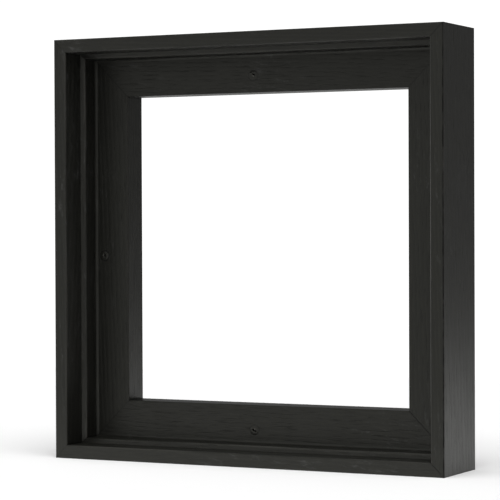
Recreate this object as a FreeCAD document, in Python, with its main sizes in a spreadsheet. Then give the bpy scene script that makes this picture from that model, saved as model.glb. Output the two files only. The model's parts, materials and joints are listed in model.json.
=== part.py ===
import FreeCAD, Part
import math
import os
import Sketcher

# A square floating frame for a gallery-depth canvas. Four rails of one stepped moulding are mitred
# into a frame: a narrow rim, a deep wall, a narrow sloping ledge, a second wall with a small cove at its
# foot, and the wide seat that the canvas is screwed to from behind. Nothing fills the opening.
#
# X runs along the frame's width, Y from the front (-) to the wall side (+), and Z is up. The origin is
# the centre of the face that the frame stands on. Lengths are in millimetres.

DIMENSIONS = (
    ("outer_side", 344.0, "outside of the square frame"),
    ("moulding_width", 46.0, "outer face to see-through opening"),
    ("moulding_depth", 65.0, "front of the rim to the back"),
    ("rim_width", 11.0, "front face of the rim"),
    ("upper_ledge_width", 4.0, "narrow ledge part of the way down the wall"),
    ("upper_ledge_depth", 23.5, "below the rim, where it meets the first wall"),
    ("upper_ledge_fall", 1.5, "how much deeper its edge is, since it slopes towards the opening"),
    ("seat_depth", 41.2, "canvas seat, below the rim"),
    ("cove_radius", 2.5, "where the second wall meets the seat"),
    ("arris_radius", 0.7, "eased long edges"),
    ("soft_edge_radius", 1.1, "rim's inner edge and the upper ledge's edge, sanded rounder"),
    ("fit_gap", 0.05, "between a fastener or ring and its hole, on the radius"),
    ("canvas_screw_length", 19.0, "under the head"),
    ("canvas_screw_radius", 2.0, "shank"),
    ("canvas_head_radius", 4.0, "pan head"),
    ("canvas_head_height", 2.6, "pan head"),
    ("counterbore_radius", 4.8, "in the back, for the canvas screw's head"),
    ("counterbore_depth", 15.8, "leaves the wood that the head pulls on"),
    ("tip_setback", 0.3, "screw's tip behind the seat, before a canvas goes in"),
    ("wedge_leg", 7.0, "each leg of the corner wedge's angle"),
    ("wedge_thickness", 0.9, "steel strip"),
    ("wedge_height", 12.0, "driven in from the back"),
    ("wedge_setback", 0.2, "wedge's end below the back face"),
    ("outer_wedge_at", 13.0, "apex of the outer wedge, from both outer faces"),
    ("inner_wedge_at", 30.0, "apex of the inner wedge, from both outer faces"),
    ("strap_width", 10.0, "hanger strap"),
    ("strap_thickness", 0.8, "one layer of the folded strap"),
    ("strap_reach", 24.0, "ring's bar to the end of the strap"),
    ("strap_screw_at", 18.5, "ring's bar to the strap's screw"),
    ("strap_slope", 35.0, "degrees, where the outer layer comes down from the loop"),
    ("ring_wire_radius", 1.25, "hanger ring"),
    ("ring_corner_radius", 3.0, "centre line, between bar and bow"),
    ("ring_half_width", 9.5, "centre line, and the bow's radius"),
    ("ring_lean", 4.0, "degrees, the hanging ring leans on the strap"),
    ("hanger_height", 250.0, "ring's bar above the base"),
    ("hanger_screw_length", 13.0, "under the head"),
    ("hanger_screw_radius", 1.75, "shank"),
    ("hanger_head_radius", 3.4, "pan head"),
    ("hanger_head_height", 2.2, "pan head"),
    ("bumper_radius", 5.0, "wall bumper"),
    ("bumper_height", 4.4, "holds the hangers clear of the wall"),
    ("bumper_along", 135.0, "from the frame's middle"),
    ("bumper_across", 14.0, "above the base"),
    ("bottom_screw_along", -9.0, "canvas screw from the rail's middle; the holes are drilled by hand"),
    ("bottom_screw_across", 25.5, "canvas screw from the rail's outer face"),
    ("left_screw_along", 6.0, "as above, on the left stile"),
    ("left_screw_across", 23.0, "as above"),
    ("top_screw_along", 9.0, "as above, on the top rail"),
    ("top_screw_across", 32.0, "as above"),
    ("right_screw_along", -6.0, "as above, on the right stile"),
    ("right_screw_across", 24.0, "as above"),
)

# In the order that quarter turns about the frame's middle axis, from the bottom rail, bring them.
RAILS = ("bottom_rail", "left_stile", "top_rail", "right_stile")
CORNERS = ("bottom_left", "top_left", "top_right", "bottom_right")
SIDES = (("left", -1), ("right", 1))
MARGIN = 2.0

doc = FreeCAD.newDocument("floating_frame")
sizes = doc.addObject("Spreadsheet::Sheet", "Sizes")
for row, (alias, number, meaning) in enumerate(DIMENSIONS, start=1):
    sizes.set(f"A{row}", meaning)
    sizes.set(f"B{row}", str(number))
    sizes.setAlias(f"B{row}", alias)
doc.recompute()

# Places in a rail's section as expressions on the sheet: Y of its faces from front to back, then the
# height of its walls above the outer face. BAR_HEIGHT is the ring's bar above the back.
BACK = "Sizes.moulding_depth / 2"
FRONT = "-Sizes.moulding_depth / 2"
UPPER_LEDGE = f"{FRONT} + Sizes.upper_ledge_depth"
LEDGE_EDGE = f"{UPPER_LEDGE} + Sizes.upper_ledge_fall"
SEAT = f"{FRONT} + Sizes.seat_depth"
WALL_1 = "Sizes.rim_width"
WALL_2 = f"{WALL_1} + Sizes.upper_ledge_width"
OPENING = "Sizes.moulding_width"
HALF_SIDE = "Sizes.outer_side / 2"
BAR_HEIGHT = "(Sizes.ring_wire_radius + Sizes.fit_gap + Sizes.strap_thickness)"

parts = []


def value(expression):
    """The number that an expression on the sheet's cells gives."""
    result = sizes.evalExpression(expression)
    return float(getattr(result, "Value", result))


def new_body(name):
    body = doc.addObject("PartDesign::Body", name)
    body.Label = name
    body.AllowCompound = True
    parts.append(body)
    return body


def sketch_on(body, name, plane, offset=None):
    """A sketch on one of the body's own planes, moved along the plane's normal by an expression."""
    sketch = body.newObject("Sketcher::SketchObject", name)
    base = next(f for f in body.Origin.OriginFeatures if f.Role == plane)
    sketch.AttachmentSupport = [(base, "")]
    sketch.MapMode = "FlatFace"
    if offset is not None:
        sketch.setExpression("AttachmentOffset.Base.z", offset)
    return sketch


def fix_point(sketch, edge, end, x, y):
    """Pins one end of an edge to a place given by two expressions."""
    for kind, axis, expression in (("DistanceX", -2, x), ("DistanceY", -1, y)):
        number = value(expression)
        if abs(number) < 1e-9:
            sketch.addConstraint(Sketcher.Constraint("PointOnObject", edge, end, axis))
            continue
        index = sketch.addConstraint(Sketcher.Constraint(kind, -1, 1, edge, end, number))
        sketch.setExpression(f"Constraints[{index}]", expression)


def outline(sketch, points):
    """A closed outline of straight edges through points, each a pair of expressions."""
    spots = [FreeCAD.Vector(value(x), value(y), 0) for x, y in points]
    edges = []
    for start, end in zip(spots, spots[1:] + spots[:1]):
        edges.append(sketch.addGeometry(Part.LineSegment(start, end), False))
    for edge, following, (x, y) in zip(edges, edges[1:] + edges[:1], points):
        sketch.addConstraint(Sketcher.Constraint("Coincident", edge, 2, following, 1))
        fix_point(sketch, edge, 1, x, y)


def run_and_arc(sketch, points, radius):
    """A closed outline of straight edges through points, and an arc back from the last to the first,
    anticlockwise from first to last, about a centre level with the last."""
    spots = [FreeCAD.Vector(value(x), value(y), 0) for x, y in points]
    edges = []
    for start, end in zip(spots, spots[1:]):
        edges.append(sketch.addGeometry(Part.LineSegment(start, end), False))
    size = value(radius)
    centre = spots[-1] + FreeCAD.Vector(size, 0, 0)
    away = spots[0] - centre
    whole = Part.Circle(centre, FreeCAD.Vector(0, 0, 1), size)
    arc = sketch.addGeometry(Part.ArcOfCircle(whole, math.atan2(away.y, away.x), math.pi), False)
    for edge, following in zip(edges, edges[1:]):
        sketch.addConstraint(Sketcher.Constraint("Coincident", edge, 2, following, 1))
    sketch.addConstraint(Sketcher.Constraint("Coincident", arc, 1, edges[0], 1))
    sketch.addConstraint(Sketcher.Constraint("Coincident", arc, 2, edges[-1], 2))
    index = sketch.addConstraint(Sketcher.Constraint("Radius", arc, size))
    sketch.setExpression(f"Constraints[{index}]", radius)
    for edge, (x, y) in zip(edges, points):
        fix_point(sketch, edge, 1, x, y)
    fix_point(sketch, edges[-1], 2, *points[-1])


def circle(sketch, x, y, radius):
    """A circle whose centre and radius are expressions."""
    centre = FreeCAD.Vector(value(x), value(y), 0)
    edge = sketch.addGeometry(Part.Circle(centre, FreeCAD.Vector(0, 0, 1), value(radius)), False)
    index = sketch.addConstraint(Sketcher.Constraint("Radius", edge, value(radius)))
    sketch.setExpression(f"Constraints[{index}]", radius)
    fix_point(sketch, edge, 3, x, y)


def pad(body, name, sketch, length, symmetric=False):
    feature = body.newObject("PartDesign::Pad", name)
    feature.Profile = sketch
    feature.SideType = "Symmetric" if symmetric else "One side"
    feature.setExpression("Length", length)
    doc.recompute()
    return feature


def revolve(body, name, sketch):
    feature = body.newObject("PartDesign::Revolution", name)
    feature.Profile = sketch
    feature.ReferenceAxis = (sketch, ["V_Axis"])
    feature.Angle = 360.0
    doc.recompute()
    return feature


def pocket(body, name, sketch, length=None, reverse=False):
    """Cuts a sketch out, right through both ways if no length is given. It has to take wood away."""
    before = body.Shape.Volume
    feature = body.newObject("PartDesign::Pocket", name)
    feature.Profile = sketch
    if length is None:
        feature.SideType = "Symmetric"
        feature.Type = "ThroughAll"
    else:
        feature.Reversed = reverse
        feature.setExpression("Length", length)
    doc.recompute()
    if body.Shape.Volume > before - 0.01:
        raise RuntimeError(f"{body.Label}: {name} cut nothing")
    return feature


def ease(body, name, base, edges, radius):
    feature = body.newObject("PartDesign::Fillet", name)
    feature.Base = (base, edges)
    feature.setExpression("Radius", radius)
    doc.recompute()
    return feature


def edges_along(shape, axis, places):
    """Names of the straight edges along one axis that pass through places, pairs of expressions for
    the other two coordinates in their order."""
    across = [name for name in "xyz" if name != axis]
    targets = [(value(first), value(second)) for first, second in places]
    found = []
    for number, edge in enumerate(shape.Edges, start=1):
        ends = [vertex.Point for vertex in edge.Vertexes]
        spots = [[getattr(end, name) for name in across] for end in ends]
        for target in targets:
            gap = max(abs(a - b) for spot in spots for a, b in zip(spot, target))
            if len(ends) == 2 and gap < 1e-4:
                found.append(f"Edge{number}")
    if len(found) != len(targets):
        raise RuntimeError(f"found {len(found)} of {len(targets)} edges along {axis}")
    return found


def round_edge(shape, radius, height):
    """Name of the round edge about Z with this radius, at this height."""
    for number, edge in enumerate(shape.Edges, start=1):
        if isinstance(edge.Curve, Part.Circle) and len(edge.Vertexes) == 1:
            if abs(edge.Curve.Radius - value(radius)) + abs(edge.Curve.Center.z - value(height)) < 1e-4:
                return f"Edge{number}"
    raise RuntimeError(f"no round edge of radius {radius} at {height}")


def turn_into_place(body, quarter_turns):
    """Turns a piece made in the bottom rail's place about the frame's middle axis."""
    middle = FreeCAD.Vector(0, 0, value(HALF_SIDE))
    turn = FreeCAD.Rotation(FreeCAD.Vector(0, 1, 0), 90.0 * quarter_turns)
    across = (0, -1, 0, 1)[quarter_turns]
    up = (0, 1, 2, 1)[quarter_turns]
    body.Placement = FreeCAD.Placement(middle - turn.multVec(middle), turn)
    body.setExpression("Placement.Base.x", f"{HALF_SIDE} * {across}")
    body.setExpression("Placement.Base.z", f"{HALF_SIDE} * {up}")


def place(body, x, y, z, tilt=0.0):
    """Puts a piece at a place given by expressions, tilted about X by degrees."""
    spot = FreeCAD.Vector(value(x), value(y), value(z))
    body.Placement = FreeCAD.Placement(spot, FreeCAD.Rotation(FreeCAD.Vector(1, 0, 0), tilt))
    for axis, expression in (("x", x), ("y", y), ("z", z)):
        body.setExpression(f"Placement.Base.{axis}", expression)


def hanger_x(sign):
    """The middle of a stile's back, where its hanger is."""
    return f"{sign} * ({HALF_SIDE} - {OPENING} / 2)"


def place_in_rail(quarter_turns, along, across):
    """X and Z of a place in a rail, along from its middle and across from its outer face."""
    reach = f"({HALF_SIDE} - {across})"
    x = (along, f"-{reach}", f"-{along}", reach)[quarter_turns]
    z = (f"-{reach}", f"-{along}", reach, along)[quarter_turns]
    return x, f"{HALF_SIDE} + {z}"


def wedge_outline(apex, end, grow):
    """A corner wedge seen from behind, as an angle of two legs from an apex on the mitre line. end is
    -1 for the rail's left end and 1 for its right end, and grow is the clearance all round."""
    half = f"(Sizes.wedge_thickness / 2 + {grow})"
    reach = f"(Sizes.wedge_leg + {grow})"
    plan = (
        (f"-{half}", f"-{half}"),
        (reach, f"-{half}"),
        (reach, half),
        (half, half),
        (half, reach),
        (f"-{half}", reach),
    )
    return [
        (f"{end} * ({HALF_SIDE} - {apex} - ({u}))", f"{apex} + ({w})")
        for u, w in plan
    ]


def make_rail(name, quarter_turns):
    """One mitred length of the moulding, made lying along X at the bottom of the frame."""
    body = new_body(name)
    profile = sketch_on(body, f"{name}_profile", "YZ_Plane")
    outline(
        profile,
        (
            (FRONT, "0"),
            (BACK, "0"),
            (BACK, OPENING),
            (SEAT, OPENING),
            (SEAT, WALL_2),
            (LEDGE_EDGE, WALL_2),
            (UPPER_LEDGE, WALL_1),
            (FRONT, WALL_1),
        ),
    )
    length = pad(body, f"{name}_length", profile, "Sizes.outer_side", symmetric=True)

    arrises = [(FRONT, "0"), (SEAT, OPENING), (BACK, OPENING), (BACK, "0")]
    soft_edges = [(FRONT, WALL_1), (LEDGE_EDGE, WALL_2)]
    foot = [(SEAT, WALL_2)]
    for part_name, places, radius in (
        ("arrises", arrises, "Sizes.arris_radius"),
        ("soft_edges", soft_edges, "Sizes.soft_edge_radius"),
        ("cove", foot, "Sizes.cove_radius"),
    ):
        rounded = edges_along(length.Shape, "x", places)
        length = ease(body, f"{name}_{part_name}", length, rounded, radius)

    for end in (-1, 1):
        mitre = sketch_on(body, f"{name}_mitre_{'right' if end > 0 else 'left'}", "XZ_Plane")
        far = f"{end} * ({HALF_SIDE} + {MARGIN})"
        near = f"{end} * ({HALF_SIDE} - {OPENING} - {MARGIN})"
        top = f"{OPENING} + {MARGIN}"
        outline(mitre, ((far, f"-{MARGIN}"), (near, top), (far, top)))
        pocket(body, f"{mitre.Name}_cut", mitre)

    side = name.split("_")[0]
    screw_along = f"Sizes.{side}_screw_along"
    screw_across = f"Sizes.{side}_screw_across"
    hole = sketch_on(body, f"{name}_screw_hole", "XZ_Plane")
    circle(hole, screw_along, screw_across, "Sizes.canvas_screw_radius + Sizes.fit_gap")
    pocket(body, f"{name}_screw_hole_cut", hole)
    recess = sketch_on(body, f"{name}_counterbore", "XZ_Plane", offset=f"-({BACK})")
    circle(recess, screw_along, screw_across, "Sizes.counterbore_radius")
    pocket(body, f"{name}_counterbore_cut", recess, "Sizes.counterbore_depth", reverse=True)

    slots = sketch_on(body, f"{name}_wedge_slots", "XZ_Plane", offset=f"-({BACK})")
    for end in (-1, 1):
        for apex in ("Sizes.outer_wedge_at", "Sizes.inner_wedge_at"):
            outline(slots, wedge_outline(apex, end, "Sizes.fit_gap"))
    slot_depth = "Sizes.wedge_height + Sizes.wedge_setback + Sizes.fit_gap"
    pocket(body, f"{name}_wedge_slots_cut", slots, slot_depth, reverse=True)

    if side in ("left", "right"):
        up = 1 if side == "right" else -1
        pilot = sketch_on(body, f"{name}_hanger_pilot", "XZ_Plane", offset=f"-({BACK})")
        along = f"{up} * (Sizes.hanger_height - Sizes.strap_screw_at - {HALF_SIDE})"
        circle(pilot, along, f"{OPENING} / 2", "Sizes.hanger_screw_radius + Sizes.fit_gap")
        pocket(body, f"{name}_hanger_pilot_cut", pilot, "Sizes.hanger_screw_length", reverse=True)
    turn_into_place(body, quarter_turns)


def make_corner_wedges(corner, quarter_turns):
    """The two angled steel wedges that hold one mitre shut, driven in from the back."""
    body = new_body(f"corner_wedges_{corner}")
    start = f"-({BACK} - Sizes.wedge_setback)"
    plan = sketch_on(body, f"{corner}_wedge_plan", "XZ_Plane", offset=start)
    for apex in ("Sizes.outer_wedge_at", "Sizes.inner_wedge_at"):
        outline(plan, wedge_outline(apex, -1, "0"))
    pad(body, f"{corner}_wedge_strips", plan, "Sizes.wedge_height")
    turn_into_place(body, quarter_turns)


def make_screw(name, prefix, x, y, z):
    """A pan-head wood screw made upright, then laid with its head towards +Y. y is where the underside
    of its head sits."""
    length = f"Sizes.{prefix}_screw_length"
    shank = f"Sizes.{prefix}_screw_radius"
    head = f"Sizes.{prefix}_head_radius"
    height = f"Sizes.{prefix}_head_height"
    body = new_body(name)
    half = sketch_on(body, f"{name}_half", "XZ_Plane")
    outline(
        half,
        (
            ("0", f"-{length}"),
            ("0.15", f"-{length}"),
            (shank, f"-{length} + {shank} * 2"),
            (shank, "0"),
            (head, "0"),
            (head, height),
            ("0", height),
        ),
    )
    turned = revolve(body, f"{name}_turned", half)
    crown = [round_edge(turned.Shape, head, height)]
    ease(body, f"{name}_crown", turned, crown, f"{height} * 0.75")

    recess = sketch_on(body, f"{name}_recess", "XY_Plane", offset=height)
    arm = f"{head} * 0.55"
    blade = f"{head} * 0.12"
    cross = [(arm, blade), (blade, blade), (blade, arm)]
    cross += [(f"-{blade}", arm), (f"-{blade}", blade), (f"-{arm}", blade)]
    cross += [(f"-{arm}", f"-{blade}"), (f"-{blade}", f"-{blade}"), (f"-{blade}", f"-{arm}")]
    cross += [(blade, f"-{arm}"), (blade, f"-{blade}"), (arm, f"-{blade}")]
    outline(recess, cross)
    pocket(body, f"{name}_recess_cut", recess, f"{height} * 0.7")

    place(body, x, y, z, tilt=-90.0)


def make_canvas_screw(rail, quarter_turns):
    """The canvas screw of one rail, started in its hole with its tip just behind the seat."""
    side = rail.split("_")[0]
    x, z = place_in_rail(quarter_turns, f"Sizes.{side}_screw_along", f"Sizes.{side}_screw_across")
    y = f"{SEAT} + Sizes.tip_setback + Sizes.canvas_screw_length"
    make_screw(f"canvas_screw_{side}", "canvas", x, y, z)


def make_strap(side, sign):
    """A steel strap folded round the ring's bar, its two layers flat together below the loop. It is
    made with the bar along X, the strap hanging down and the wood at y = 0."""
    body = new_body(f"{side}_hanger_strap")
    layer = "Sizes.strap_thickness"
    low = "-Sizes.strap_reach"

    def loop(radius, height):
        """Where the loop of a radius leaves its circle, and where its slope comes down to a height."""
        x = f"({BAR_HEIGHT} + {radius} * cos(Sizes.strap_slope))"
        y = f"(-{radius} * sin(Sizes.strap_slope))"
        return (x, y), (height, f"{y} - ({x} - {height}) / tan(Sizes.strap_slope)")

    fold = sketch_on(body, f"{side}_strap_fold", "YZ_Plane")
    outside = loop(BAR_HEIGHT, f"{layer} * 2")
    run_and_arc(fold, (*outside, (f"{layer} * 2", low), ("0", low), ("0", "0")), BAR_HEIGHT)
    inner_radius = f"({BAR_HEIGHT} - {layer})"
    run_and_arc(fold, (*loop(inner_radius, layer), (layer, "0")), inner_radius)
    strip = pad(body, f"{side}_strap_width", fold, "Sizes.strap_width", symmetric=True)

    ends = [("-Sizes.strap_width / 2", low), ("Sizes.strap_width / 2", low)]
    rounded = edges_along(strip.Shape, "y", ends)
    ease(body, f"{side}_strap_end", strip, rounded, "Sizes.strap_width * 0.45")

    hole = sketch_on(body, f"{side}_strap_hole", "XZ_Plane")
    circle(hole, "0", "-Sizes.strap_screw_at", "Sizes.hanger_screw_radius + Sizes.fit_gap")
    pocket(body, f"{side}_strap_hole_cut", hole)
    place(body, hanger_x(sign), BACK, "Sizes.hanger_height")


def make_ring(side, sign):
    """A closed steel ring: a straight bar with a round bow below it, made about its bar."""
    body = new_body(f"{side}_hanger_ring")
    path = sketch_on(body, f"{side}_ring_path", "XZ_Plane")
    axis = FreeCAD.Vector(0, 0, 1)
    bow = value("Sizes.ring_half_width")
    corner = value("Sizes.ring_corner_radius")
    bar_end = bow - corner
    middle = FreeCAD.Vector(0, 0, 0)
    right = FreeCAD.Vector(bar_end, 0, 0)
    left = FreeCAD.Vector(-bar_end, 0, 0)
    drop = FreeCAD.Vector(0, -corner, 0)
    corner_right = Part.Circle(right + drop, axis, corner)
    corner_left = Part.Circle(left + drop, axis, corner)
    path.addGeometry(Part.LineSegment(middle, right), False)
    path.addGeometry(Part.ArcOfCircle(corner_right, 0, math.pi / 2), False)
    path.addGeometry(Part.ArcOfCircle(Part.Circle(drop, axis, bow), math.pi, 2 * math.pi), False)
    path.addGeometry(Part.ArcOfCircle(corner_left, math.pi / 2, math.pi), False)
    path.addGeometry(Part.LineSegment(left, middle), False)
    joined = (
        Sketcher.Constraint("Coincident", 0, 1, -1, 1),
        Sketcher.Constraint("PointOnObject", 0, 2, -1),
        Sketcher.Constraint("Tangent", 0, 2, 1, 2),
        Sketcher.Constraint("Tangent", 1, 1, 2, 2),
        Sketcher.Constraint("Tangent", 2, 1, 3, 2),
        Sketcher.Constraint("Tangent", 3, 1, 4, 1),
        Sketcher.Constraint("Coincident", 4, 2, -1, 1),
        Sketcher.Constraint("PointOnObject", 4, 1, -1),
        Sketcher.Constraint("PointOnObject", 2, 3, -2),
        Sketcher.Constraint("Horizontal", 1, 3, 2, 3),
    )
    for constraint in joined:
        path.addConstraint(constraint)
    for edge, radius in ((1, "ring_corner_radius"), (3, "ring_corner_radius"), (2, "ring_half_width")):
        index = path.addConstraint(Sketcher.Constraint("Radius", edge, value(f"Sizes.{radius}")))
        path.setExpression(f"Constraints[{index}]", f"Sizes.{radius}")
    section = sketch_on(body, f"{side}_ring_section", "YZ_Plane")
    circle(section, "0", "0", "Sizes.ring_wire_radius")
    doc.recompute()
    wire = body.newObject("PartDesign::AdditivePipe", f"{side}_ring_wire")
    wire.Profile = section
    wire.Spine = (path, [f"Edge{number}" for number in range(1, 6)])
    doc.recompute()
    lean = value("Sizes.ring_lean")
    place(body, hanger_x(sign), f"{BACK} + {BAR_HEIGHT}", "Sizes.hanger_height", tilt=lean)


def make_hanger_screw(side, sign):
    """The screw that holds a strap, its head on the strap's outer layer."""
    y = f"{BACK} + Sizes.strap_thickness * 2"
    z = "Sizes.hanger_height - Sizes.strap_screw_at"
    make_screw(f"{side}_hanger_screw", "hanger", hanger_x(sign), y, z)


def make_bumper(side, sign):
    """A domed rubber bumper stuck to the back of the bottom rail."""
    body = new_body(f"{side}_bumper")
    radius = "Sizes.bumper_radius"
    height = "Sizes.bumper_height"
    half = sketch_on(body, f"{side}_bumper_half", "XZ_Plane")
    outline(
        half,
        (
            ("0", "0"),
            (radius, "0"),
            (radius, height),
            ("0", height),
        ),
    )
    disc = revolve(body, f"{side}_bumper_disc", half)
    crown = [round_edge(disc.Shape, radius, height)]
    ease(body, f"{side}_bumper_dome", disc, crown, f"{height} * 0.8")
    place(body, f"{sign} * Sizes.bumper_along", BACK, "Sizes.bumper_across", tilt=-90.0)


for turns, (rail_name, corner_name) in enumerate(zip(RAILS, CORNERS)):
    make_rail(rail_name, turns)
    make_canvas_screw(rail_name, turns)
    make_corner_wedges(corner_name, turns)
for side_name, side_sign in SIDES:
    make_strap(side_name, side_sign)
    make_ring(side_name, side_sign)
    make_hanger_screw(side_name, side_sign)
    make_bumper(side_name, side_sign)

doc.recompute()
failed = [o.Name for o in doc.Objects if "Invalid" in o.State or "Error" in o.State]
if failed:
    raise RuntimeError(f"these did not build: {failed}")
for body in parts:
    if body.Shape.isNull() or not body.Shape.isValid():
        raise RuntimeError(f"{body.Label} has no valid shape")

os.makedirs("parts", exist_ok=True)
for body in parts:
    body.Shape.exportStep(f"parts/{body.Label}.step")
    box = body.Shape.BoundBox
    print(
        f"{body.Label:28s} solids {len(body.Shape.Solids)}  volume {body.Shape.Volume:10.1f}  "
        f"x {box.XMin:7.1f} {box.XMax:7.1f}  y {box.YMin:6.1f} {box.YMax:6.1f}  "
        f"z {box.ZMin:6.1f} {box.ZMax:6.1f}"
    )
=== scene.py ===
import json
import math
import random

import bmesh
import bpy
from mathutils import Matrix, Vector, noise


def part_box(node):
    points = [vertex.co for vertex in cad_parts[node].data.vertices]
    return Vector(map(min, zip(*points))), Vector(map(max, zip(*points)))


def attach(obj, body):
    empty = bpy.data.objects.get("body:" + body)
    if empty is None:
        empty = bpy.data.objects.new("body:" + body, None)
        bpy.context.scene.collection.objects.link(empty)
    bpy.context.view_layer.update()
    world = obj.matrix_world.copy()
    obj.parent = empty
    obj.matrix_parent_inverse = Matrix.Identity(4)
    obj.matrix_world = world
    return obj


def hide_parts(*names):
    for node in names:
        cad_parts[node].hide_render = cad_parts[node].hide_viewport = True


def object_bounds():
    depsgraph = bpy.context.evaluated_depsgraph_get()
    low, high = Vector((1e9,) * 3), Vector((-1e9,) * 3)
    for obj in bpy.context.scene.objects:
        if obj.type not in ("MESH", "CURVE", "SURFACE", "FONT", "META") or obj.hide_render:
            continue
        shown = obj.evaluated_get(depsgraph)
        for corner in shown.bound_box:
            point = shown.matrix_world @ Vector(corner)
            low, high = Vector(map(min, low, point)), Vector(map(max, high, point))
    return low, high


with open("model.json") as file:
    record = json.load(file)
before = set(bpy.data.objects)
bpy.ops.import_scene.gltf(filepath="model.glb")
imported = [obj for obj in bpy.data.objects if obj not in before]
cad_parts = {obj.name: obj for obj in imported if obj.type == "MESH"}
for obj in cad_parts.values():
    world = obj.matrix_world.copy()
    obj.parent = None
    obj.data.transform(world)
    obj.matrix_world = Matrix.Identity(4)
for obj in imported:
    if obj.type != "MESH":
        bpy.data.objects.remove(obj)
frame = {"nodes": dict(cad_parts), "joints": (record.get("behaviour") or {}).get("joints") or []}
cad_low, cad_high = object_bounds()

# A floating frame: four mitred lengths of stepped black moulding, the screws that wait for a canvas, and
# two ring hangers and two bumpers on the back. Metres, +Z up; the rim faces -Y and the floor is z = 0.

MM = 0.001
SIDES = ("bottom", "top", "left", "right")
RAILS = {"bottom": "bottom_rail", "top": "top_rail", "left": "left_stile", "right": "right_stile"}
CORNERS = ("bottom_left", "bottom_right", "top_left", "top_right")
FRONT, BACK = (corner.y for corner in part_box("bottom_rail"))
HALF_SIDE = (cad_high.x - cad_low.x) / 2
MIDDLE_HEIGHT = HALF_SIDE
SEAT = FRONT + 41.2 * MM
RIM_WIDTH = 11 * MM
LEDGE_EDGE, LEDGE_EDGE_BACK = 15 * MM, FRONT + 25 * MM     # the upper ledge's edge: how far in, and its Y
CANVAS_SHANK, HANGER_SHANK = 2.0 * MM, 1.75 * MM           # radii
CANVAS_HEAD, HANGER_HEAD = 2.6 * MM, 2.2 * MM              # heights
CANVAS_PITCH, HANGER_PITCH = 1.8 * MM, 1.5 * MM
COUNTERBORE, COUNTERBORE_DEPTH = 4.8 * MM, 15.8 * MM       # radius, and depth from the back
BURR_REACH = 4.0 * MM
RING_WIRE, RING_CORNER, RING_LEAN = 1.25 * MM, 3.0 * MM, math.radians(4)
MITRE_EASE = {"bottom_right": 0.55 * MM}                   # the one joint that has opened a little
TIGHT_MITRE = 0.16 * MM
BOARD_SHIFT = 0.37                                         # along the grain, from one rail to the next
rng = random.Random(7)


def middle_of(node):
    low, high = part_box(node)
    return (low + high) / 2


# ---------------------------------------------------------------------------------------- materials

class Nodes:
    """The node tree of a material or a world, built one node at a time. An input is a number, a colour
    or another node's output."""

    def __init__(self, owner):
        owner.use_nodes = True
        self.owner = owner
        self.tree = owner.node_tree
        self.tree.nodes.clear()
        coordinates = self.add("TexCoord").outputs
        self.place = coordinates["Object"]
        self.direction = coordinates["Generated"]

    def add(self, kind, inputs=None, **settings):
        made = self.tree.nodes.new("ShaderNode" + kind)
        for name, setting in settings.items():
            setattr(made, name, setting)
        for name, given in (inputs or {}).items():
            self.put(made.inputs[name], given)
        return made

    def put(self, socket, given):
        if isinstance(given, bpy.types.NodeSocket):
            self.tree.links.new(given, socket)
        else:
            socket.default_value = given

    def math(self, operation, *values, clamp=False):
        made = self.add("Math", operation=operation, use_clamp=clamp)
        for socket, given in zip(made.inputs, values):
            self.put(socket, given)
        return made.outputs[0]

    def sum(self, *values):
        total = values[0]
        for given in values[1:]:
            total = self.math("ADD", total, given)
        return total

    def scaled(self, given, factor):
        return self.math("MULTIPLY", given, factor)

    def length(self, *values):
        """The length of a vector, from its components."""
        squares = [self.math("MULTIPLY", given, given) for given in values]
        return self.math("SQRT", self.sum(*squares))

    def split(self, vector):
        return self.add("SeparateXYZ", {"Vector": vector}).outputs

    def vector(self, x, y, z):
        return self.add("CombineXYZ", {"X": x, "Y": y, "Z": z}).outputs[0]

    def noise(self, vector, scale, detail=2.0, roughness=0.5):
        inputs = {"Vector": vector, "Scale": scale, "Detail": detail, "Roughness": roughness}
        return self.add("TexNoise", inputs).outputs["Fac"]

    def step(self, amount, start, end, low=0.0, high=1.0):
        """low at start and before it, high at end and past it, and smooth in between. start may be over
        end."""
        inputs = {"Value": amount, "From Min": start, "From Max": end, "To Min": low, "To Max": high}
        return self.add("MapRange", inputs, interpolation_type="SMOOTHSTEP").outputs["Result"]

    def blend(self, share, first, second):
        """The colour between two, by share."""
        made = self.add("Mix", data_type="RGBA")
        for socket, given in ((made.inputs[0], share), (made.inputs[6], first), (made.inputs[7], second)):
            self.put(socket, given)
        return made.outputs[2]

    def bump(self, height, depth, under=None):
        """A relief of that depth in metres, where height goes from 0 to 1, over the relief under it."""
        inputs = {"Height": height, "Distance": depth, "Strength": 1.0}
        if under is not None:
            inputs["Normal"] = under
        return self.add("Bump", inputs).outputs[0]

    def finish(self, **inputs):
        shader = self.add("BsdfPrincipled")
        for name, given in inputs.items():
            self.put(shader.inputs[name.replace("_", " ")], given)
        self.add("OutputMaterial", {"Surface": shader.outputs[0]})
        return self.owner


def new_material(name):
    return Nodes(bpy.data.materials.new(name))


def rgb(red, green, blue):
    return (red, green, blue, 1.0)


# A near black for the pores, and for the painted shade in the mitre seams and round the screw holes.
PORE_AND_SHADE_BLACK = rgb(0.002, 0.002, 0.002)


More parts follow.
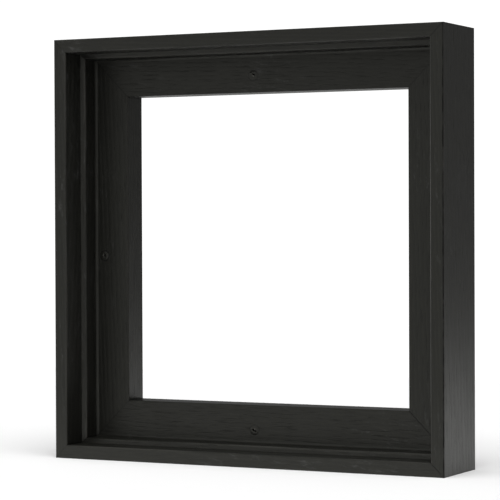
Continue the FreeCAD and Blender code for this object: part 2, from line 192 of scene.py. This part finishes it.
def board_grain(made, along, y, across, offset):
    """The early wood of each growth ring, the pores, broad streaks and a mix for the colour, all from 0
    to 1, and the place stretched along the grain. offset moves the pith, so that no two boards match."""
    # Slow waves in the grain, then growth rings about a pith well outside the board.
    drift = made.noise(made.vector(made.scaled(along, 0.4), y, across), 9.0, detail=2.0)
    drift = made.scaled(made.sum(drift, -0.5), 5 * MM)
    deep = made.sum(y, drift, 62 * MM + 0.04 * offset)
    wide = made.sum(across, drift, made.scaled(along, 0.045))
    ring = made.math("FRACT", made.math("DIVIDE", made.length(deep, wide), 3.1 * MM))
    early_wood = made.math("MULTIPLY", made.step(ring, 0.0, 0.12), made.step(ring, 0.75, 0.25))

    # Pores are thin and long, and thick on the ground in the early wood.
    stretched = made.vector(made.scaled(along, 0.035), y, across)
    fine = made.noise(stretched, 2100.0, detail=2.0, roughness=0.6)
    streak = made.noise(stretched, 420.0, detail=3.0, roughness=0.6)
    limit = made.math("SUBTRACT", 0.66, made.scaled(early_wood, 0.12))
    pore = made.step(fine, limit, made.sum(limit, 0.06))
    grain = made.sum(made.scaled(streak, 0.7), made.scaled(early_wood, 0.3))
    return early_wood, pore, streak, grain, stretched


def edge_wear(made, y, depth_in_rail, stretched):
    """Flecks where sanding and handling have thinned the lacquer, along the rim's two edges and the
    ledge's."""
    from_inner_edge = made.math("ABSOLUTE", made.sum(depth_in_rail, -RIM_WIDTH))
    from_rim_edge = made.math("MINIMUM", depth_in_rail, from_inner_edge)
    from_rim_edge = made.sum(from_rim_edge, made.scaled(made.sum(y, -FRONT), 0.6))
    near_rim_edge = made.step(from_rim_edge, 0.3 * MM, 1.5 * MM, 1.0, 0.0)
    from_ledge_edge = made.length(made.sum(depth_in_rail, -LEDGE_EDGE), made.sum(y, -LEDGE_EDGE_BACK))
    near_ledge_edge = made.step(from_ledge_edge, 0.7 * MM, 2.2 * MM, 1.0, 0.0)
    near_edge = made.math("MAXIMUM", near_rim_edge, near_ledge_edge)
    fleck = made.step(made.noise(stretched, 300.0, detail=4.0), 0.42, 0.62)
    return made.math("MULTIPLY", near_edge, fleck)


def scuffs(made, along, y, across):
    """Faint scuffs and settled dust, in patches. They run roughly with the grain."""
    patch = made.step(made.noise(made.place, 11.0, detail=2.0), 0.46, 0.62)
    slanted = made.vector(made.scaled(along, 0.3), y, made.sum(across, made.scaled(along, 0.12)))
    scuff = made.step(made.noise(slanted, 260.0, detail=5.0, roughness=0.75), 0.54, 0.72)
    return made.math("MULTIPLY", scuff, patch)


def black_wood(side, offset):
    """Satin black lacquer over open-grained wood, its grain along the rail. The back is only stained,
    and the counterbore shows the bare wood that the drill left."""
    made = new_material(RAILS[side] + "_lacquer")
    x, y, z = made.split(made.place)
    upright = side in ("left", "right")
    height = made.sum(z, -MIDDLE_HEIGHT)
    along, across = (height, x) if upright else (x, height)
    along = made.sum(along, offset)
    early_wood, pore, streak, grain, stretched = board_grain(made, along, y, across, offset)

    # The mitres, at 45 degrees through every corner: a dark line where the lacquer has sunk into the
    # joint, with painted shade of the groove on it, patchy at random.
    rise = made.math("ABSOLUTE", height)
    off_mitre = made.math("ABSOLUTE", made.math("SUBTRACT", made.math("ABSOLUTE", x), rise))
    patchiness = made.step(made.noise(made.place, 95.0, detail=2.0), 0.3, 0.6, low=0.45)
    seam_and_shade = made.math("MULTIPLY", made.step(off_mitre, 0.3 * MM, 0.9 * MM, low=1.0, high=0.0), patchiness)

    # The lacquer, with its wear.
    depth_in_rail = made.math("SUBTRACT", HALF_SIDE, made.math("MAXIMUM", made.math("ABSOLUTE", x), rise))
    worn = edge_wear(made, y, depth_in_rail, stretched)
    scuff = scuffs(made, along, y, across)
    colour = made.blend(grain, rgb(0.0050, 0.0050, 0.0043), rgb(0.0150, 0.0150, 0.0126))
    colour = made.blend(made.scaled(worn, 0.6), colour, rgb(0.040, 0.039, 0.035))
    colour = made.blend(made.scaled(scuff, 0.6), colour, rgb(0.060, 0.060, 0.060))
    # Pores, and the mitre seams with their painted shade, go nearly black.
    colour = made.blend(made.math("MAXIMUM", made.scaled(pore, 0.5), seam_and_shade), colour, PORE_AND_SHADE_BLACK)
    smear = made.noise(made.place, 28.0, detail=3.0)
    roughness = made.sum(made.scaled(streak, 0.2), made.scaled(smear, 0.14), made.scaled(pore, 0.2), 0.2)
    roughness = made.sum(roughness, made.scaled(scuff, 0.12))

    # The front right arris is rougher, as if rubbed dull, and carries painted shade: a dark line along
    # that one edge, patchy at random.
    off_arris = made.length(made.sum(x, -HALF_SIDE), made.sum(y, -FRONT))
    dulled_and_shaded = made.math("MULTIPLY", made.step(off_arris, 0.5 * MM, 1.3 * MM, 1.0, 0.0), patchiness)
    # Painted shade on that arris.
    colour = made.blend(dulled_and_shaded, colour, rgb(0.003, 0.003, 0.003))
    roughness = made.sum(roughness, made.scaled(dulled_and_shaded, 0.55))

    # The back is stained and matt, so its grain shows brown.
    stained = made.step(y, BACK - 0.9 * MM, BACK - 0.2 * MM)
    stain = made.blend(grain, rgb(0.011, 0.009, 0.007), rgb(0.042, 0.033, 0.024))
    # The pores and the mitre seams with their painted shade stay dark on the back too.
    dark_line = made.math("MAXIMUM", made.scaled(pore, 0.8), seam_and_shade)
    stain = made.blend(dark_line, stain, rgb(0.003, 0.003, 0.003))
    colour = made.blend(stained, colour, stain)
    roughness = made.sum(roughness, made.scaled(stained, 0.26))

    # A faint groove round the foot of the screw hole's crater, where the drill came through the seat,
    # with painted shade in it.
    hole = middle_of(f"canvas_screw_{side}")
    off_axis = made.length(made.sum(x, -hole.x), made.sum(z, -hole.z))
    foot_groove_and_shade = made.math("MULTIPLY", made.step(off_axis, BURR_REACH - 0.6 * MM, BURR_REACH),
                       made.step(off_axis, BURR_REACH + 0.2 * MM, BURR_REACH + 1.0 * MM, 1.0, 0.0))
    foot_groove_and_shade = made.math("MULTIPLY", foot_groove_and_shade, made.step(y, SEAT + 0.5 * MM, SEAT + 1.0 * MM, 1.0, 0.0))
    # Painted shade in that groove.
    colour = made.blend(made.scaled(foot_groove_and_shade, 0.8), colour, PORE_AND_SHADE_BLACK)

    # Bare wood in the counterbore, darker where the drill burnt it.
    bore_end = BACK - COUNTERBORE_DEPTH
    bored = made.math("MULTIPLY", made.step(off_axis, COUNTERBORE, COUNTERBORE + 0.1 * MM, 1.0, 0.0),
                      made.step(y, bore_end - 1.2 * MM, bore_end - 0.7 * MM))
    bored = made.math("MULTIPLY", bored, made.step(y, BACK - 0.8 * MM, BACK - 0.3 * MM, 1.0, 0.0))
    bare = made.blend(grain, rgb(0.16, 0.10, 0.055), rgb(0.42, 0.29, 0.17))
    burnt = made.blend(made.step(made.noise(made.place, 700.0), 0.45, 0.7), bare, rgb(0.05, 0.03, 0.018))
    colour = made.blend(bored, colour, burnt)
    roughness = made.sum(roughness, made.scaled(bored, 0.4))

    relief = made.bump(made.math("SUBTRACT", 1.0, early_wood), 0.02 * MM)
    relief = made.bump(streak, 0.045 * MM, relief)
    relief = made.bump(made.math("SUBTRACT", 1.0, pore), 0.04 * MM, relief)
    relief = made.bump(made.math("SUBTRACT", 1.0, foot_groove_and_shade), 0.1 * MM, relief)
    relief = made.bump(made.noise(made.place, 1500.0, detail=1.0), 0.012 * MM, relief)
    return made.finish(
        Base_Color=colour, Roughness=roughness, Specular_IOR_Level=0.4,
        Specular_Tint=rgb(1.0, 1.0, 0.92), Normal=relief,
    )


def torn_fibre():
    """The lifted fibres round a screw hole: lacquered like the seat, and rubbed grey at their tips."""
    made = new_material("torn_fibre")
    x, y, z = made.split(made.place)
    strand = made.noise(made.vector(made.scaled(x, 0.3), y, z), 1900.0, detail=3.0)
    tip = made.step(y, SEAT - 0.25 * MM, SEAT - 0.75 * MM)
    colour = made.blend(strand, rgb(0.006, 0.006, 0.005), rgb(0.016, 0.016, 0.0135))
    colour = made.blend(made.math("MULTIPLY", tip, strand, clamp=True), colour, rgb(0.16, 0.155, 0.14))
    roughness = made.sum(made.scaled(strand, 0.25), 0.22)
    return made.finish(Base_Color=colour, Roughness=roughness, Specular_IOR_Level=0.4,
                       Specular_Tint=rgb(1.0, 1.0, 0.92), Normal=made.bump(strand, 0.06 * MM))


def steel(name, colour, shadow, roughness, scratch_depth, tarnish=0.0, bright_point=False):
    """Plated or rolled steel with fine scratches, dull patches and, if asked, brown tarnish or a point
    that the wood has rubbed bright."""
    made = new_material(name)
    x, y, z = made.split(made.place)
    scratch = made.noise(made.vector(x, made.scaled(y, 0.2), made.scaled(z, 0.05)), 5200.0)
    patch = made.noise(made.place, 190.0, detail=4.0)
    tone = made.blend(made.step(patch, 0.35, 0.7), colour, shadow)
    spots = made.step(made.noise(made.place, 620.0, detail=5.0, roughness=0.7), 0.56, 0.7, high=tarnish)
    tone = made.blend(spots, tone, rgb(0.10, 0.055, 0.03))
    if bright_point:
        tone = made.blend(made.step(y, SEAT + 5 * MM, SEAT + 2 * MM), tone, rgb(0.2, 0.2, 0.195))
    rough = made.sum(made.scaled(patch, 0.25), made.scaled(spots, 0.3), roughness - 0.1)
    relief = made.bump(scratch, scratch_depth)
    relief = made.bump(patch, 0.02 * MM, relief)
    return made.finish(Base_Color=tone, Metallic=1.0, Roughness=rough, Normal=relief)


def rubber(name):
    """Soft matt rubber, faintly pebbled, with dust on it."""
    made = new_material(name)
    pebble = made.noise(made.place, 2600.0, detail=2.0)
    dust = made.noise(made.place, 240.0, detail=3.0)
    colour = made.blend(made.step(dust, 0.45, 0.75), rgb(0.012, 0.012, 0.013), rgb(0.035, 0.035, 0.034))
    rough = made.sum(made.scaled(dust, 0.2), 0.5)
    return made.finish(Base_Color=colour, Roughness=rough, Normal=made.bump(pebble, 0.03 * MM))


def dress(piece, material):
    """Gives a piece, or a CAD node, one material."""
    slots = piece.data.materials
    if len(slots):
        slots[0] = material
    else:
        slots.append(material)
    return piece


# ------------------------------------------------------------------------------------- making pieces

def new_piece(name, mesh):
    piece = bpy.data.objects.new(name, mesh)
    bpy.context.scene.collection.objects.link(piece)
    return piece


def piece_from(work, name):
    """A new piece from a bmesh, which is used up."""
    mesh = bpy.data.meshes.new(name)
    bmesh.ops.recalc_face_normals(work, faces=work.faces)
    work.to_mesh(mesh)
    work.free()
    return new_piece(name, mesh)


def smooth(piece, sharp_degrees=35.0):
    """Smooth shading that keeps the flats flat and breaks at the hard edges."""
    piece.data.shade_smooth()
    piece.data.set_sharp_from_angle(angle=math.radians(sharp_degrees))
    weighted = piece.modifiers.new("flat_faces", "WEIGHTED_NORMAL")
    weighted.keep_sharp = True
    return piece


def loft(work, rings, closed=False):
    """Skins rings of equal counts of vertices, and closes the last to the first if asked."""
    following = rings[1:] + rings[:1] if closed else rings[1:]
    for ring, after in zip(rings, following):
        for k in range(len(ring)):
            after_k = (k + 1) % len(ring)
            work.faces.new((ring[k], ring[after_k], after[after_k], after[k]))


def lathe(work, profile, segments, shape=None):
    """A turned body about Z, closed by flat ends. profile is (radius, height) from the top down, and
    shape(radius, height, turn) may change a radius."""
    rings = []
    for radius, height in profile:
        ring = []
        for k in range(segments):
            turn = math.tau * k / segments
            size = shape(radius, height, turn) if shape else radius
            ring.append(work.verts.new((size * math.cos(turn), size * math.sin(turn), height)))
        rings.append(ring)
    loft(work, rings)
    for ring in (rings[0], rings[-1]):
        work.faces.new(ring)


def put_down(piece, body, material, replaced=None):
    """Dresses a finished piece and gives it its body and the node that it stands for."""
    dress(piece, material)
    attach(piece, body)
    if replaced:
        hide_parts(replaced)
    return piece


# ---------------------------------------------------------------------------------------- the rails

def off_mitre(point):
    """How far a point is from the nearest mitre plane."""
    return abs(abs(point.x) - abs(point.z - MIDDLE_HEIGHT)) / math.sqrt(2)


def corner_name(point):
    level = "bottom" if point.z < MIDDLE_HEIGHT else "top"
    return f"{level}_{'left' if point.x < 0 else 'right'}"


def rail_with_eased_mitres(node):
    """The CAD rail as one clean mesh, its mitred ends rounded so that each joint is a fine groove."""
    work = bmesh.new()
    work.from_mesh(frame["nodes"][node].data)
    bmesh.ops.remove_doubles(work, verts=work.verts, dist=1e-6)
    bmesh.ops.dissolve_limit(work, angle_limit=math.radians(0.4), verts=work.verts, edges=work.edges)
    for corner in CORNERS:
        ease = MITRE_EASE.get(corner, TIGHT_MITRE)
        ends = [f for f in work.faces if all(off_mitre(v.co) < 1e-6 for v in f.verts)]
        for end in ends:
            if corner_name(end.calc_center_median()) == corner:
                bmesh.ops.bevel(work, geom=list(end.edges), offset=ease, offset_type="OFFSET", segments=2,
                                profile=0.5, affect="EDGES", clamp_overlap=True)
                break
    piece = piece_from(work, node + "_wood")
    cad_normals = piece.data.attributes.get("custom_normal")
    if cad_normals:
        piece.data.attributes.remove(cad_normals)
    return smooth(piece)


for number, side in enumerate(SIDES):
    wood = black_wood(side, offset=BOARD_SHIFT * number)
    put_down(rail_with_eased_mitres(RAILS[side]), "frame", wood, RAILS[side])


# -------------------------------------------------------------------------------------- the hardware

nickel = steel("nickel_plate", rgb(0.62, 0.6, 0.56), rgb(0.42, 0.41, 0.38), 0.3, 0.004 * MM, tarnish=0.15)
zinc = steel("zinc_plate", rgb(0.6, 0.62, 0.64), rgb(0.4, 0.41, 0.42), 0.36, 0.004 * MM, tarnish=0.1)
blackened = steel("blackened_steel", rgb(0.09, 0.09, 0.092), rgb(0.035, 0.035, 0.036), 0.4, 0.006 * MM,
                  bright_point=True)
rolled = steel("rolled_strip", rgb(0.34, 0.34, 0.35), rgb(0.2, 0.19, 0.18), 0.5, 0.008 * MM, tarnish=0.5)
soft = rubber("bumper_rubber_surface")
fibre = torn_fibre()


def cross_cutter(head_radius, depth, turn):
    """One tapered blade of a cross recess, to cut into a head whose top is at z = 0."""
    work = bmesh.new()
    bmesh.ops.create_cube(work, size=1.0)
    for vertex in work.verts:
        low = vertex.co.z < 0
        reach, blade = (0.16, 0.12) if low else (1.26, 0.27)
        vertex.co.x *= head_radius * reach
        vertex.co.y *= head_radius * blade
        vertex.co.z = -depth if low else 0.4 * depth
    cutter = piece_from(work, "cross_cutter")
    cutter.rotation_euler.z = turn
    return cutter


def threaded_screw(node, shank, head_height, pitch, material):
    """A pan-head wood screw with its thread, its point and its cross recess, where the CAD one is."""
    low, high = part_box(node)
    head_radius = (high.x - low.x) / 2
    length = high.y - low.y
    thread_end = length - 0.4 * shank
    thread_start = head_height + 0.28 * (length - head_height)

    crown_height = 0.62 * head_height
    crown = [(head_radius * math.sin(a), crown_height * (1 - math.cos(a)))
             for a in (math.radians(9 * k) for k in range(1, 11))]
    profile = crown + [(head_radius, 0.9 * head_height), (0.97 * head_radius, head_height)]
    profile += [(1.15 * shank, head_height), (shank, head_height + 0.3 * shank), (shank, thread_start)]
    steps = int(12 * (thread_end - thread_start) / pitch)
    root = 0.7 * shank
    for k in range(1, steps + 1):
        along = thread_start + (thread_end - thread_start) * k / steps
        profile.append((root, along))
    profile.append((0.06 * shank, length))

    def thread(radius, height, turn):
        """The shank's radius, with the thread that winds round it. Both taper to the point."""
        along = -height
        if along <= thread_start or along >= length:
            return radius
        taper = min(1.0, (length - along) / (3.2 * shank))
        run_in = min(1.0, (along - thread_start) / pitch)
        phase = (along / pitch + turn / math.tau) % 1.0
        tooth = max(0.0, 1.0 - abs(phase - 0.5) / 0.24)
        core = root + (shank - root) * (1 - run_in)
        return core * taper + (shank - core) * tooth * min(1.0, 1.6 * taper)

    work = bmesh.new()
    lathe(work, [(radius, -along) for radius, along in profile], 32, thread)
    screw = piece_from(work, node + "_threaded")
    blades = ((0.0, 0.72 * head_height), (math.pi / 2, 0.70 * head_height))
    cutters = [cross_cutter(head_radius, depth, turn) for turn, depth in blades]
    for cutter in cutters:
        cut = screw.modifiers.new("recess", "BOOLEAN")
        cut.operation = "DIFFERENCE"
        cut.solver = "EXACT"
        cut.object = cutter
    bpy.context.view_layer.update()
    evaluated = screw.evaluated_get(bpy.context.evaluated_depsgraph_get())
    screw.data = bpy.data.meshes.new_from_object(evaluated)
    screw.modifiers.clear()
    for cutter in cutters:
        bpy.data.objects.remove(cutter)

    spin = Matrix.Rotation(rng.uniform(0, math.pi / 2), 4, "Z")
    lay = Matrix.Rotation(math.radians(-90), 4, "X")
    spot = Matrix.Translation(((low.x + high.x) / 2, high.y, (low.z + high.z) / 2))
    screw.data.transform(spot @ lay @ spin)
    return put_down(smooth(screw, 32.0), "frame", material, node)


def burr(side, angle, long_half, short_half, shift, torn_towards, torn):
    """Wood round the screw hole in the seat, swollen into a low crater that almost closes the hole to a
    slot. On one side its fibres are torn up. Sizes are in mm, and angles go from +X towards +Z."""
    hole = middle_of(f"canvas_screw_{side}")
    spot = Vector((hole.x, SEAT, hole.z))
    slot_middle = spot + Vector((shift[0], 0, shift[1])) * MM
    slot_turn, torn_turn = math.radians(angle), math.radians(torn_towards)
    swell = 0.32 * MM
    count = 72
    work = bmesh.new()
    rings = []
    for k in range(count):
        turn = math.tau * k / count
        across = Vector((math.cos(turn), 0, math.sin(turn)))
        ragged = noise.noise(Vector((1.7 * math.cos(turn), 1.7 * math.sin(turn), hole.x * 90)))
        splinter = noise.noise(Vector((6 * math.cos(turn), 6 * math.sin(turn), hole.z * 70)))
        facing = max(0.0, math.cos(turn - torn_turn))
        off_slot = turn - slot_turn
        lip = MM / math.hypot(math.cos(off_slot) / long_half, math.sin(off_slot) / short_half)
        inner = slot_middle + across * lip * (1 + 0.3 * splinter)
        outer = spot + across * BURR_REACH * (1 + 0.1 * ragged)
        height = swell * (1 + 0.4 * ragged)
        peak = torn * MM * facing ** 4 * (1 + 0.6 * splinter)
        section = (
            (0.00, -0.12 * MM),
            (0.18, 0.20 * height),
            (0.40, 0.62 * height),
            (0.62, 0.95 * height),
            (0.80, height + 0.35 * peak),
            (0.92, 0.9 * height + peak),
            (1.00, 0.6 * height + 0.9 * peak),
            (0.98, -0.3 * MM),
            (0.90, -0.8 * MM),
            (0.40, -0.8 * MM),
        )
        places = [outer.lerp(inner, inward) - Vector((0, up, 0)) for inward, up in section]
        rings.append([work.verts.new(place) for place in places])
    loft(work, rings, closed=True)
    return put_down(smooth(piece_from(work, f"screw_burr_{side}"), 50.0), "frame", fibre)


def ring_path(half_width, steps=14):
    """The middle line of a hanger ring about its bar: the bar, two corners and a round bow."""
    bar_end = half_width - RING_CORNER
    drop = -RING_CORNER
    points = [Vector((bar_end * (1 - 2 * k / steps), 0, 0)) for k in range(steps)]
    arcs = (
        (-bar_end, RING_CORNER, 90, 180),
        (0.0, half_width, 180, 360),
        (bar_end, RING_CORNER, 0, 90),
    )
    for centre, radius, start, end in arcs:
        count = max(8, int(radius / RING_CORNER * steps))
        for k in range(count):
            turn = math.radians(start + (end - start) * k / count)
            points.append(Vector((centre + radius * math.cos(turn), 0, drop + radius * math.sin(turn))))
    return points


def hanger_ring(side):
    """A closed steel ring that hangs from its bar, leaning on the strap."""
    node = f"{side}_hanger_ring"
    low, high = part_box(node)
    joint = next(j for j in frame["joints"] if j["child"] == f"{side}_ring")
    path = ring_path((high.x - low.x) / 2 - RING_WIRE)
    flat = Vector((0, 1, 0))
    around = 20
    work = bmesh.new()
    sections = []
    for k, point in enumerate(path):
        tangent = (path[(k + 1) % len(path)] - path[k - 1]).normalized()
        sideways = flat.cross(tangent)
        radius = RING_WIRE * (1 - 0.004 * (k % 2))             # drawn wire is a hair uneven
        section = []
        for m in range(around):
            turn = math.tau * m / around
            out = flat * math.cos(turn) + sideways * math.sin(turn)
            section.append(work.verts.new(point + out * radius))
        sections.append(section)
    loft(work, sections, closed=True)
    ring = piece_from(work, node + "_wire")
    ring.data.transform(Matrix.Translation(Vector(joint["pos_m"])) @ Matrix.Rotation(RING_LEAN, 4, "X"))
    return put_down(smooth(ring, 60.0), f"{side}_ring", nickel, node)


def bumper(side):
    """A stick-on rubber bumper: a thin skirt, slightly hollow sides and a low dome."""
    node = f"{side}_bumper"
    low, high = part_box(node)
    radius, height = (high.x - low.x) / 2, high.y - low.y
    shoulder = 0.42 * height
    dome = [(0.86 * radius * math.sin(a), height - (height - shoulder) * (1 - math.cos(a)))
            for a in (math.radians(7.5 * k) for k in range(1, 13))]
    sides = [(radius * (0.86 - 0.025 * math.sin(math.pi * s)), shoulder * (1 - s) + 0.5 * MM * s)
             for s in (0.25, 0.5, 0.75, 1.0)]
    skirt = [(0.97 * radius, 0.36 * MM), (radius, 0.22 * MM), (radius, 0.0)]
    work = bmesh.new()
    lathe(work, dome + sides + skirt, 48)
    piece = piece_from(work, node + "_rubber")
    middle = (low + high) / 2
    spot = Matrix.Translation((middle.x, low.y, middle.z))
    piece.data.transform(spot @ Matrix.Rotation(math.radians(-90), 4, "X"))
    return put_down(smooth(piece, 40.0), "frame", soft, node)


def soften(node, width, material):
    """A CAD node's own shape, its stamped edges slightly rounded."""
    piece = dress(frame["nodes"][node], material)
    weld = piece.modifiers.new("one_skin", "WELD")
    weld.merge_threshold = 1e-6
    bevel = piece.modifiers.new("stamped_edges", "BEVEL")
    bevel.width = width
    bevel.segments = 2
    bevel.limit_method = "ANGLE"
    bevel.angle_limit = math.radians(40)
    bevel.harden_normals = False
    weighted = piece.modifiers.new("flat_faces", "WEIGHTED_NORMAL")
    weighted.keep_sharp = False


for side in SIDES:
    threaded_screw(
        f"canvas_screw_{side}", CANVAS_SHANK, CANVAS_HEAD, CANVAS_PITCH, blackened
    )
burr("bottom", angle=-24, long_half=2.3, short_half=0.65, shift=(-0.3, 0.0), torn_towards=50, torn=0.6)
burr("top", angle=-32, long_half=1.3, short_half=0.42, shift=(0.3, 0.7), torn_towards=-100, torn=0.9)
burr("left", angle=-80, long_half=1.4, short_half=0.55, shift=(0.3, 0.0), torn_towards=170, torn=1.2)
burr("right", angle=80, long_half=1.6, short_half=0.6, shift=(0.0, 0.2), torn_towards=20, torn=0.5)
for side in ("left", "right"):
    soften(f"{side}_hanger_strap", 0.12 * MM, nickel)
    hanger_ring(side)
    threaded_screw(
        f"{side}_hanger_screw", HANGER_SHANK, HANGER_HEAD, HANGER_PITCH, zinc
    )
    bumper(side)
for corner in CORNERS:
    soften(f"corner_wedges_{corner}", 0.08 * MM, rolled)


# ---------------------------------------------------------------------------------- floor and light

def pale_floor(front=0.2, back=0.95, side=1.2):
    """A white table top, as pale as the room that it stands in. The frame stands near its front edge."""
    mesh = bpy.data.meshes.new("floor")
    corners = [(-side, -front, 0), (side, -front, 0), (side, back, 0), (-side, back, 0)]
    mesh.from_pydata(corners, [], [(0, 1, 2, 3)])
    floor = new_piece("floor", mesh)
    made = new_material("pale_floor")
    cloud = made.noise(made.place, 1.5, detail=3.0)
    colour = made.blend(cloud, rgb(0.93, 0.93, 0.93), rgb(0.95, 0.95, 0.95))
    dress(floor, made.finish(Base_Color=colour, Roughness=0.75, Specular_IOR_Level=0.2))


def soft_sun(name, strength, azimuth, elevation, spread, mirrored=True):
    """A broad, even light from an azimuth (0 in front, 90 on the right) and an elevation, in degrees.
    One that isn't mirrored leaves no highlight on the lacquer."""
    light = bpy.data.lights.new(name, "SUN")
    light.energy = strength
    light.angle = math.radians(spread)
    lamp = bpy.data.objects.new(name, light)
    lamp.visible_glossy = mirrored
    bpy.context.scene.collection.objects.link(lamp)
    turn, lift = math.radians(azimuth), math.radians(elevation)
    towards = Vector((math.sin(turn) * math.cos(lift), -math.cos(turn) * math.cos(lift), math.sin(lift)))
    lamp.rotation_mode = "QUATERNION"
    lamp.rotation_quaternion = towards.to_track_quat("Z", "Y")


def pale_room(seen, bright, dim, bright_azimuth):
    """An even pale room to look at. The light that it gives goes from dim on one side to bright on the
    other, which is at an azimuth."""
    made = Nodes(bpy.data.worlds.new("room"))
    turn = math.radians(bright_azimuth)
    towards = (math.sin(turn), -math.cos(turn), 0.0)
    facing = made.add("VectorMath", {0: made.direction, 1: towards}, operation="DOT_PRODUCT")
    given = made.step(facing.outputs["Value"], -1.0, 1.0, low=dim, high=bright)
    camera_sees = made.add("LightPath").outputs["Is Camera Ray"]
    strength = made.add("MapRange", {"Value": camera_sees, "To Min": given, "To Max": seen})
    wall = made.add("Background", {"Color": rgb(1, 1, 1), "Strength": strength.outputs["Result"]})
    made.add("OutputWorld", {"Surface": wall.outputs[0]})
    bpy.context.scene.world = made.owner


pale_floor()
soft_sun("key", strength=2.45, azimuth=25.0, elevation=70.0, spread=50.0, mirrored=False)
soft_sun("window", strength=0.8, azimuth=-98.0, elevation=0.0, spread=60.0)
pale_room(seen=1.1, bright=0.60, dim=0.17, bright_azimuth=-27.0)
bpy.context.scene.view_settings.view_transform = "Standard"


# ------------------------------------------------------------------------------------------- camera

CAMERA_FROM_FRONT = Vector((2.3285, -4.5238, 0.063))      # in frame heights, from the rim's middle
CAMERA_TURN, CAMERA_TILT, CAMERA_ROLL = (math.radians(angle) for angle in (26.99, -0.72, 0.21))
CAMERA_LENS, CAMERA_SENSOR = 159.86, 36.0                 # mm

camera = bpy.data.objects.new("camera", bpy.data.cameras.new("camera"))
bpy.context.scene.collection.objects.link(camera)
bpy.context.scene.camera = camera
camera.data.lens = CAMERA_LENS
camera.data.sensor_width = CAMERA_SENSOR
rim_middle = Vector((0, FRONT, MIDDLE_HEIGHT))
camera.matrix_world = (
    Matrix.Translation(rim_middle + CAMERA_FROM_FRONT * 2 * HALF_SIDE)
    @ Matrix.Rotation(CAMERA_TURN, 4, "Z")
    @ Matrix.Rotation(CAMERA_TILT, 4, "X")
    @ Matrix.Rotation(CAMERA_ROLL, 4, "Y")
    @ Matrix.Rotation(math.radians(90), 4, "X")
)

bpy.context.view_layer.update()
